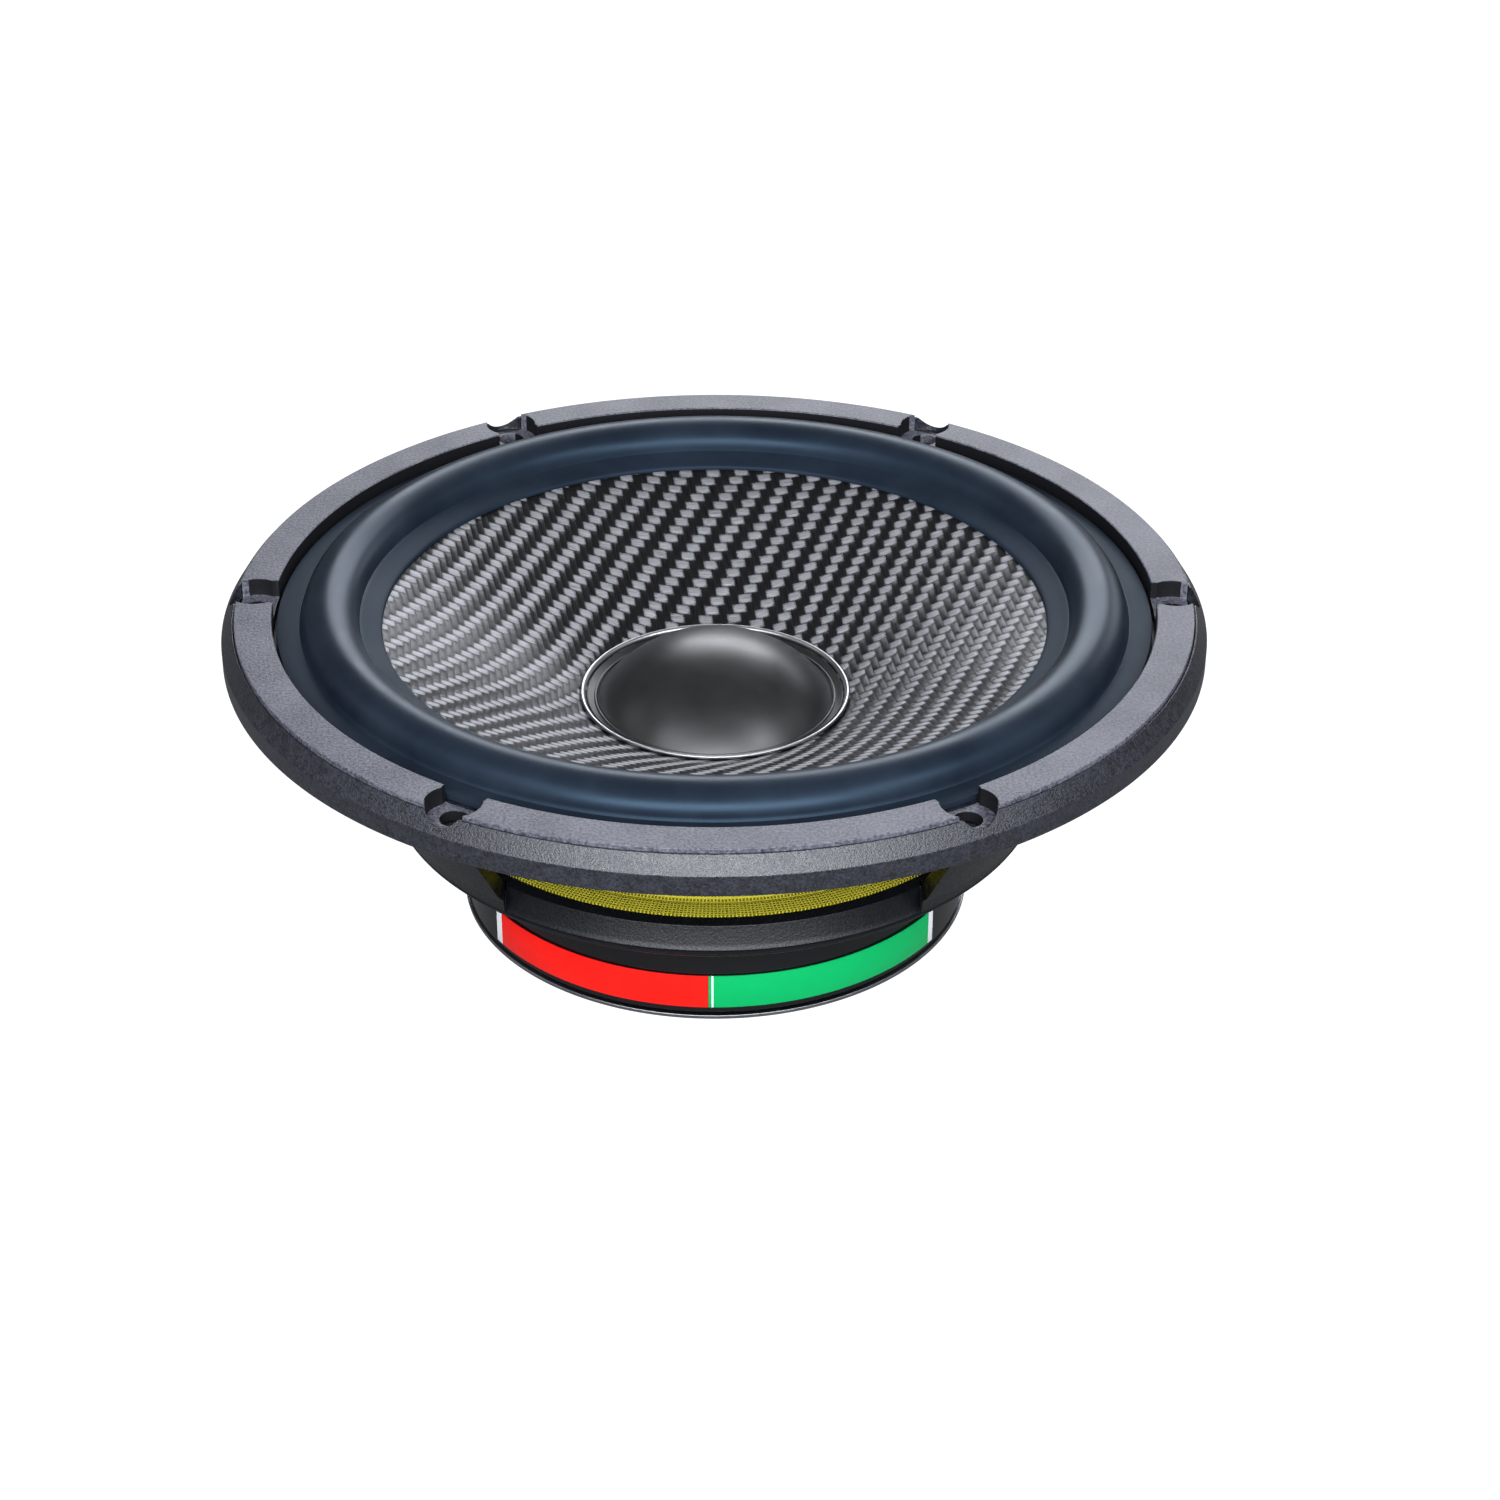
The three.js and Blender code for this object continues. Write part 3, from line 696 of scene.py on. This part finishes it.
LOOKS = {
    "powder": powder_coat(),
    "paint": chassis_paint_with_painted_shade(),
    "trim": trim_plastic_with_painted_sheen(),
    "trim_wall": trim_wall(),
    "rubber": rubber(),
    "carbon": carbon_weave(),
    "satin": satin_black(),
    "polished": polished_metal(),
    "cloth": spider_cloth(),
    "amber": amber_film(),
    "copper": copper_wire(),
    "zinc": zinc_plate(),
    "ferrite": ferrite(),
    "gloss": gloss_black(),
    "red": printed_film_with_painted_shadow("red_film", (0.8, 0.003, 0.002), (0.9, 0.012, 0.006)),
    "green": printed_film_with_painted_shadow("green_film", (0.0, 0.34, 0.085), (0.0, 0.44, 0.12)),
    "white": printed_film_with_painted_shadow("white_film", (0.75, 0.75, 0.77), (0.9, 0.9, 0.92)),
    "board": board(),
    "brass": plated("brass_plate", (0.50, 0.32, 0.09), (0.72, 0.50, 0.18)),
    "tin": plated("tin_plate", (0.48, 0.48, 0.49), (0.68, 0.68, 0.69)),
    "braid": plated("braided_copper", (0.42, 0.18, 0.07), (0.74, 0.40, 0.2)),
}


# ---- placing pieces ------------------------------------------------------------------------------
def body_of(node):
    """The name of the moving body that a CAD node belongs to."""
    return next(body for body, members in BODIES.items() if node in members)


def stand_for(piece, node):
    """Puts a fine piece on a CAD node's body, in place of the node, which it hides."""
    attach(piece, body_of(node))
    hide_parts(node)
    return piece


def stretch_between(piece, node, share):
    """A piece from the chassis to the cone, baked in place with its node hidden; share(x, y)'s weights
    are unused.
    """
    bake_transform(piece)
    co = np.array([v.co for v in piece.data.vertices]) / MM
    weights = np.clip(share(co[:, 0], co[:, 1]), 0, 1)
    weights = weights * weights * (3 - 2 * weights)
    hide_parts(node)
    return piece


# ---- chassis and trim ring -----------------------------------------------------------------------
def notch_outline():
    """A screw pocket from the front: a round well over the hole, opening inwards through its mouth."""
    radius, cusp, half_mouth, inner, outer = 4.45, math.radians(122), 3.9, 72.8, 74.4
    well = arc((SCREW_CIRCLE, 0), radius, -cusp, cusp, 40)
    return [(inner, -half_mouth), (outer, -half_mouth), *well, (outer, half_mouth), (inner, half_mouth)]


def notch_tool():
    return turned(prism("notch", notch_outline(), NOTCH_FLOOR, 3, "z"), NOTCH_COUNT)


def screw_hole_tool():
    return turned(bar("screw_hole", 2.25, -12, 3, "z", SCREW_CIRCLE, 0), NOTCH_COUNT)


def window_tool():
    foot, head, sill, top, corner = 34.3, 42, WINDOW_SILL, -9.5, 1.2
    outline = rounded([(-foot, sill, corner), (foot, sill, corner), (head, top, 2), (-head, top, 2)], 8)
    return turned(prism("window", outline, 38, 92, "x"), LEG_COUNT, FIRST_WINDOW)


def band_tool():
    """What is cut from the shelf under each window, so that its outside is a smooth band."""
    top, foot, inner, outer, half = -30.6, -34.75, 54.3, 64, 33.6
    slope = [(inner, WINDOW_SILL), (55.4, -33.9), (56, foot)]
    band = revolve("band", [(inner, top), *slope, (outer, foot), (outer, top)])
    block = prism("band_block", [(-half, -36), (half, -36), (half, -30), (-half, -30)], 38, 92, "x")
    return combine(band, "INTERSECT", turned(block, LEG_COUNT, FIRST_WINDOW))


def chassis():
    """The cast basket: flange, bowl with three windows, spider shelf, floor and the terminal pad."""
    body = revolve("cast_chassis", rounded([
        (80.3, 0, 0.25),
        (82.5, -3.4, 0.35),
        (82.5, -7, 0.5),
        (73, -7, 0.5),
        (72, -8.4, 0.8),
        (63.5, -21, 30),
        (57.4, -32, 3),
        (56.1, -34.75, 0.15),
        (56.1, -35.3, 0.25),
        (55.4, -35.6, 0.15),
        (55.1, -36.3, 0.3),
        (54.3, -36.9, 0.3),
        (49.5, -37.6, 2),
        (46, -38.3, 0.5),
        (45, -39.5, 0.3),
        (24, -39.5, 0.3),
        (24, -37.2, 0.3),
        (44, -37.2, 1),
        (46.4, -35.4, 1),
        (47.5, -32, 0.3),
        (51.8, -32),
        (51.8, -31, 0.2),
        (53.4, -31, 0.5),
        (60, -21, 20),
        (67.2, -9, 2),
        (67.6, -3.4, 0.3),
        (73.4, -3.4),
        (73.4, -5.2),
        (80.3, -5.2),
    ]), LOOKS["powder"])
    combine(body, "DIFFERENCE", window_tool(), band_tool())
    pad = [(56, -31.2), (66.5, -31.2), (66.5, -16.6), (64.5, -16.6)]
    combine(body, "UNION", prism("pad", pad, -13, 13, "x"))
    return body


def finish_chassis(body):
    """Cuts the pockets and holes, rounds the edges and gives the part below the flange a darker coat as
    painted shade.
    """
    combine(body, "DIFFERENCE", notch_tool(), screw_hole_tool())
    for side in (-1, 1):
        combine(body, "DIFFERENCE", bar("lead_hole", 1.4, 50, 68, "y", side * LEAD_SIDE, LEAD_DEPTH))
        combine(body, "DIFFERENCE", bar("rivet_hole", 1.3, 63.7, 68, "y", side * RIVET_SIDE, RIVET_DEPTH))
    screw_hole = bar("motor_screw_hole", 2, -41, -36, "z", MOTOR_SCREW_CIRCLE, 0)
    combine(body, "DIFFERENCE", turned(screw_hole, LEG_COUNT, REAR_LEG))
    soften(body, 0.16)
    weigh_normals(body)
    # The faces below the flange get the darker coat, as painted shade.
    paint(body, LOOKS["paint"], lambda face: face.center.z < (FRONT + FLANGE_FOOT) * MM)
    return stand_for(body, "basket")


def trim_ring():
    """The flat ring on the flange, grey partly as painted sheen, black on its inner walls."""
    def is_inner_wall(face):
        return abs(face.normal.z) < 0.5 and face.center.xy.length < 79 * MM

    ring = revolve("moulded_trim", rounded([
        (74, -4.9),
        (80.2, -4.9),
        (80.2, 0, 0.15),
        (74.2, 0, 0.15),
        (74, -0.2, 0.15),
    ], 3), LOOKS["trim"])
    combine(ring, "DIFFERENCE", notch_tool(), screw_hole_tool())
    soften(ring, 0.18)
    weigh_normals(ring)
    paint(ring, LOOKS["trim_wall"], is_inner_wall)
    return stand_for(ring, "trim_ring")


# ---- suspension and cone -------------------------------------------------------------------------
def surround():
    """The half roll between the chassis ledge and the cone's edge, with a glued foot on each side."""
    wall, under_base = 0.9, ROLL_BASE - 0.55
    over = arc((ROLL_CENTRE, ROLL_BASE), (ROLL_HALF, ROLL_HEIGHT), 0, math.pi, 40)
    under_height = ROLL_HEIGHT + ROLL_BASE - under_base - wall
    under = arc((ROLL_CENTRE, under_base), (ROLL_HALF - wall, under_height), math.pi, 0, 24)
    skirt = [on_cone(r, 0.9) for r in np.linspace(58.6, 56.15, 6)]
    outline = [
        (73.3, -2.3), (73.25, -2.15), (73.1, -2.1), (69.55, -2.1),
        *over[1:-1],
        (59.55, -2.0),
        *skirt,
        on_cone(CONE_RIM + 0.08, 0.82), on_cone(CONE_RIM, 0.65), on_cone(CONE_RIM, GLUE),
        on_cone(CONE_EDGE, GLUE),
        *under,
        (68.6, -3.1), (73.3, -3.1),
    ]
    roll = revolve("rubber_surround", outline, LOOKS["rubber"], FINE, crease=50)
    fixed, moving = 68.8, 60.0
    return stretch_between(roll, "surround", lambda x, y: (fixed - np.hypot(x, y)) / (fixed - moving))


def cone():
    """The woven cone, from the coil former to the surround's inner foot."""
    front = [on_cone(r) for r in np.linspace(CONE_NECK, CONE_EDGE, 48)]
    back = [on_cone(r, -CONE_WALL) for r in np.linspace(CONE_EDGE, CONE_NECK, 20)]
    return stand_for(revolve("woven_cone", front + back, LOOKS["carbon"], FINE), "cone")


def dust_cap():
    """A domed cap with a fine bead round its foot, on a flat skirt that is glued to the cone."""
    radius, height, wall, skirt = 20.15, 10.2, 0.8, 21.9
    ball = (radius**2 + height**2) / (2 * height)
    base = cone_depth(radius) + 0.8
    centre = base + height - ball

    def rise(r, size):
        return (r, centre + math.sqrt(size * size - r * r))

    over = [rise(r, ball) for r in radius * np.sin(np.linspace(0, math.pi / 2, 40))]
    under = [rise(r, ball - wall) for r in np.linspace(radius - wall, 0, 24)]
    bead = [on_cone(*point) for point in arc((20.42, 0.82), (0.22, 0.26), 2.6, 0.1, 6)]
    edge = [on_cone(20.75, 0.7), on_cone(skirt - 0.1, 0.7), on_cone(skirt, 0.6), on_cone(skirt, GLUE)]
    outline = [*over[:-1], *bead, *edge, on_cone(radius - wall, GLUE), *under]
    return stand_for(revolve("domed_cap", outline, LOOKS["satin"], FINE, crease=50), "dust_cap")


def cap_ring():
    """The thin bright ring round the dust cap, with a round crown."""
    inner, outer = 22.2, 23
    middle, half = (inner + outer) / 2, (outer - inner) / 2
    crown = [on_cone(*point) for point in arc((middle, 0.5), (half, 0.45), 0, math.pi, 8)]
    outline = [on_cone(inner, GLUE), on_cone(outer, GLUE), *crown]
    ring = revolve("bright_cap_ring", outline, LOOKS["polished"], FINE, crease=60)
    return stand_for(ring, "cap_ring")


def spider():
    """The corrugated cloth that centres the coil: round waves between two flat rims."""
    def middle(r):
        phase = (r - SPIDER_FLAT_IN) / (SPIDER_FLAT_OUT - SPIDER_FLAT_IN) * 2 * SPIDER_WAVES
        if phase <= 0 or phase >= 2 * SPIDER_WAVES:
            return SPIDER_DEPTH
        fade = min(1, phase, 2 * SPIDER_WAVES - phase)
        return SPIDER_DEPTH - SPIDER_WAVE_HEIGHT * math.cos(math.pi * phase) * fade

    rim, half_wall = 51.4, 0.35
    radii = np.linspace(CONE_NECK, rim, 132)
    upper = [(r, middle(r) + half_wall) for r in radii]
    lower = [(r, middle(r) - half_wall) for r in radii[::-1]]
    cloth = revolve("corrugated_spider", upper + lower, LOOKS["cloth"], SEGMENTS, crease=60)
    fixed, moving = 47.5, 21.5
    return stretch_between(cloth, "spider", lambda x, y: (fixed - np.hypot(x, y)) / (fixed - moving))


# ---- voice coil and motor ------------------------------------------------------------------------
def tube(name, inner, outer, top, bottom, look, fillet=0.05):
    """A round tube between two radii and two depths, with its edges filleted."""
    corners = [(inner, top), (outer, top), (outer, bottom), (inner, bottom)]
    return revolve(name, rounded([(*corner, fillet) for corner in corners], 3), look)


def winding():
    """Twenty turns of round wire, laid side by side."""
    inner, outer, top, bottom, turns, wire = 18.7, 19.5, -36.8, -46.8, 20, 0.25
    pitch = (bottom - top) / turns
    outline = [(inner, bottom), (inner, top)]
    for k in range(turns):
        middle = top + pitch * (k + 0.5)
        outline += arc((outer - wire, middle), wire, math.pi / 2.2, -math.pi / 2.2, 5)
    return revolve("coil_winding", outline, LOOKS["copper"], 128, crease=40)


def yoke():
    """Back plate and pole in one forging, with a vent that widens at the rear and turned grooves."""
    rear = -FRONT
    vent, pole, lip = 6, 17.2, 44.2
    corners = [
        (vent, -39.4, 0.4),
        (pole, -39.4, 0.8),
        (pole, -52.4, 0.6),
        (MOTOR_EDGE, -52.4, 0.2),
        (MOTOR_EDGE, -55.7),
        (lip, -55.7, 0.15),
        (lip, rear, 0.3),
    ]
    for middle in (38, 26, 16):
        floor_depth = rear + 0.25
        corners += [(middle + 0.5, rear), (middle + 0.3, floor_depth)]
        corners += [(middle - 0.3, floor_depth), (middle - 0.5, rear)]
    corners += [(10, rear, 0.4), (vent, rear + 5, 1.5)]
    return stand_for(weigh_normals(revolve("motor_yoke", rounded(corners, 4), LOOKS["zinc"])), "yoke")


def magnet_cover():
    """The glossy tube round the magnet."""
    outline = rounded([(42.9, -55.4), (43.8, -55.4, 0.3), (43.8, -39.9, 0.5), (42.9, -39.9)], 4)
    cover = revolve("gloss_motor_cover", outline, LOOKS["gloss"], FINE)
    return stand_for(weigh_normals(cover), "magnet_cover")


def label(name, node, start, end, look):
    """A strip of printed film on the cover, between two angles in degrees."""
    back, face, fillet = 44.1, 44.3, 0.06
    corners = [
        (back, LABEL_BOTTOM),
        (face, LABEL_BOTTOM, fillet),
        (face, LABEL_TOP, fillet),
        (back, LABEL_TOP),
    ]
    strip = revolve(name, rounded(corners, 2), look, 90, math.radians(start), math.radians(end))
    if node:
        return stand_for(strip, node)
    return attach(strip, "frame")


def labels():
    """Two printed halves that meet at the front, with a thin white strip at the seam as a painted
    highlight; their white backing shows at the ends.
    """
    label("red_label", "label_red", 215.7, 268.9, LOOKS["red"])
    label("green_label", "label_green", 270.0, 325.0, LOOKS["green"])
    label("green_label_edge", None, 269.0, 269.6, LOOKS["green"])
    # A thin white strip at the seam: a painted highlight.
    label("label_seam_painted_highlight", None, 269.6, 270.0, LOOKS["white"])
    label("left_label_end", None, 213.6, 215.7, LOOKS["white"])
    label("right_label_end", None, 325.0, 326.8, LOOKS["white"])


def motor_screw(index):
    """A pan-head screw with a cross recess."""
    seat = -36.9
    tip, shank, head = seat - 4.4, 1.7, 3
    outline = rounded([
        (0, tip),
        (shank, tip, 0.3),
        (shank, seat),
        (head, seat, 0.1),
        (head, seat + 1.2, 0.8),
        (1.8, seat + 2, 0.5),
        (0, seat + 2),
    ], 4)
    screw = revolve(f"pan_head_screw_{index}", outline, LOOKS["tin"], 48)
    for x, y in ((0.35, 1.5), (1.5, 0.35)):
        recess = [(-x, -y), (x, -y), (x, y), (-x, y)]
        combine(screw, "DIFFERENCE", prism("recess", recess, seat + 0.9, seat + 3, "z"))
    soften(screw, 0.05, 1)
    angle = REAR_LEG + TURN * (index - 1) / LEG_COUNT
    place = Vector((math.cos(angle), math.sin(angle), 0)) * MOTOR_SCREW_CIRCLE * MM
    screw.data.transform(Matrix.Translation(place))
    return stand_for(screw, f"motor_screw_{index}")


# ---- terminals and leads -------------------------------------------------------------------------
BLADES = {"positive": (-5.4, 6.3, "brass"), "negative": (5.4, 4.8, "tin")}
BLADE_MIDDLE = 68.8


def plate(name, x, width, thickness, top, bottom, corner, look=None):
    """An upright plate in the blades' plane, with its lower corners rounded."""
    left, right = x - width / 2, x + width / 2
    corners = [(left, bottom, corner), (right, bottom, corner), (right, top, 0.2), (left, top, 0.2)]
    back, face = BLADE_MIDDLE - thickness / 2, BLADE_MIDDLE + thickness / 2
    return prism(name, rounded(corners, 4), back, face, "y", look)


def terminal_block():
    """The board on the rear leg, with a slot and a shallow well over each blade."""
    def box(left, right, low, high, fillet):
        return [(left, low, fillet), (right, low, fillet), (right, high, fillet), (left, high, fillet)]

    outline = rounded(box(-12.5, 12.5, -31, -17, 1.2), 6)
    block = prism("terminal_board", outline, 66.8, 70.8, "y", LOOKS["board"])
    for x, width, _ in BLADES.values():
        combine(block, "DIFFERENCE", plate("slot", x, width + 0.6, 1.4, -25, -32, 0.1))
        well = rounded(box(x - 2.6, x + 2.6, -24, -18.8, 0.8), 4)
        combine(block, "DIFFERENCE", prism("well", well, 69.9, 72, "y"))
    for side in (-1, 1):
        combine(block, "DIFFERENCE", bar("rivet_hole", 1.3, 65, 72, "y", side * RIVET_SIDE, RIVET_DEPTH))
    soften(block, 0.25)
    return stand_for(block, "terminal_block")


def blade(sign):
    """A flat blade with a latch hole, and a tongue that goes up into the board."""
    x, width, look = BLADES[sign]
    tab = plate(f"{sign}_blade", x, width, 0.8, -31.3, -40.5, 0.9, LOOKS[look])
    combine(tab, "UNION", plate("tongue", x, width - 0.1, 0.5, -25.3, -32.3, 0.1))
    combine(tab, "DIFFERENCE", bar("hole", 0.9, BLADE_MIDDLE - 1, BLADE_MIDDLE + 1, "y", x, -37.8))
    soften(tab, 0.1)
    return stand_for(tab, f"terminal_{sign}")


def rivet(index):
    """A domed rivet, lying along +Y."""
    side = 1 if index == 2 else -1
    face, rim = 71.1, 71.35
    head = rounded([(1, 64), (1, face), (1.9, face, 0.05), (1.9, rim, 0.1)], 2)[1:]
    dome = arc((0, rim), (1.8, 0.55), 0.1, math.pi / 2, 8)
    piece = revolve(f"domed_rivet_{index}", [(0, 64), *head, *dome], LOOKS["tin"], 40)
    place = Vector((side * RIVET_SIDE, 0, FRONT + RIVET_DEPTH)) * MM
    turn = Matrix.Translation(place) @ Matrix.Rotation(-math.pi / 2, 4, "X")
    piece.data.transform(turn @ Matrix.Translation((0, 0, -FRONT * MM)))
    return stand_for(piece, f"terminal_rivet_{index}")


class Braid:
    """A round lead's radius, with eight strands crossing over each other."""
    sides = 24

    def __call__(self, angle, ring):
        crossing = math.cos(4 * angle + 0.55 * ring) * math.cos(4 * angle - 0.55 * ring)
        return 0.74 + 0.07 * crossing


def lead(index):
    """A slack lead from the terminal board, through the rear leg, to the cone's neck."""
    side = 1 if index == 2 else -1
    points = [
        (LEAD_SIDE, 66.2, LEAD_DEPTH),
        (LEAD_SIDE, 60, LEAD_DEPTH),
        (LEAD_SIDE, 52, -22.4),
        (LEAD_SIDE, 42, -23.4),
        (4.8, 32, -21.6),
        (4.5, 25, -22.6),
        (4.1, 19.6, -24.4),
    ]
    route = smooth_route([(side * x, y, FRONT + t) for x, y, t in points], 40)
    piece = sweep(f"braided_lead_{index}", route, Braid(), LOOKS["braid"])
    fixed, moving = 62, 22
    return stretch_between(piece, f"tinsel_lead_{index}", lambda x, y: (fixed - y) / (fixed - moving))


# ---- floor and light -----------------------------------------------------------------------------
def seen_directly(look):
    """1 where the camera looks straight at a surface, 0 for the light the surface sends elsewhere."""
    return look.node("LightPath", {}).outputs["Is Camera Ray"]


def floor():
    """A white sweep that throws back only a little light, so that the driver's underside stays dark."""
    look = Look("floor", Roughness=0.9)
    look.colour(look.noise(300, 2), (0.14, 0.14, 0.145), (0.16, 0.16, 0.16))
    look.shader.inputs["Emission Color"].default_value = (1, 1, 1, 1)
    look.drive("Emission Strength", look.remap(seen_directly(look), 0, 1, 0.06, 1))
    top, thickness = -FRONT - 0.2, 20
    disc = arc((0, 0), 3000, 0, TURN, 96)[:-1]
    prism("floor", disc, top - thickness, top, "z", look.material)


def softbox(name, place, aim, size, radiance):
    """A rectangular lamp in millimetres, turned to face a point."""
    data = bpy.data.lights.new(name, "AREA")
    data.shape = "RECTANGLE"
    data.size, data.size_y = size[0] * MM, size[1] * MM
    data.energy = radiance * math.pi * data.size * data.size_y
    data.color = LAMP_COLOUR
    lamp = bpy.data.objects.new(name, data)
    here, there = Vector(place) * MM, Vector(aim) * MM
    lamp.location = here
    lamp.rotation_euler = (there - here).to_track_quat("-Z", "Y").to_euler()
    lamp.visible_camera = False
    bpy.context.scene.collection.objects.link(lamp)


def studio():
    """A world that is white to the camera and dim to the driver, and seven lamps."""
    world = bpy.data.worlds.new("studio")
    world.use_nodes = True
    nodes = world.node_tree.nodes
    nodes["Background"].inputs["Color"].default_value = (1, 1, 1, 1)
    path = nodes.new("ShaderNodeLightPath")
    strength = nodes.new("ShaderNodeMapRange")
    strength.inputs["To Min"].default_value = 0.12
    world.node_tree.links.new(path.outputs["Is Camera Ray"], strength.inputs["Value"])
    world.node_tree.links.new(strength.outputs[0], nodes["Background"].inputs["Strength"])
    bpy.context.scene.world = world
    softbox("back_softbox", (60, 640, 370), (0, 0, 50), (480, 230), 7.0)
    softbox("back_right_softbox", (430, 560, 240), (0, 0, 50), (220, 220), 2.5)
    softbox("left_softbox", (-640, 60, 380), (0, 0, 40), (360, 240), 0.8)
    softbox("right_softbox", (640, 60, 380), (0, 0, 40), (360, 240), 0.6)
    softbox("front_left_softbox", (-400, -350, 500), (0, 0, 40), (240, 200), 4.5)
    softbox("front_right_softbox", (430, -320, 480), (0, 0, 40), (220, 220), 8.0)
    softbox("front_softbox", (0, -640, 410), (0, 0, 30), (860, 260), 15.0)


# ---- assembly ------------------------------------------------------------------------------------
add_camera()
finish_chassis(chassis())
trim_ring()
surround()
cone()
dust_cap()
cap_ring()
spider()
former_top = cone_depth(CONE_NECK) + 0.4
stand_for(tube("coil_former", 17.9, 18.4, former_top, -47.3, LOOKS["amber"]), "voice_coil_former")
stand_for(winding(), "voice_coil_winding")
stand_for(tube("motor_top_plate", 20.3, MOTOR_EDGE, -39.8, -43.8, LOOKS["zinc"], 0.3), "top_plate")
stand_for(tube("ferrite_ring", 25, MOTOR_EDGE, -44.1, -52.1, LOOKS["ferrite"], 0.4), "magnet")
yoke()
magnet_cover()
labels()
for number in (1, 2, 3):
    motor_screw(number)
terminal_block()
blade("positive")
blade("negative")
for number in (1, 2):
    rivet(number)
    lead(number)

floor()
studio()
bpy.context.scene.view_settings.view_transform = "Standard"
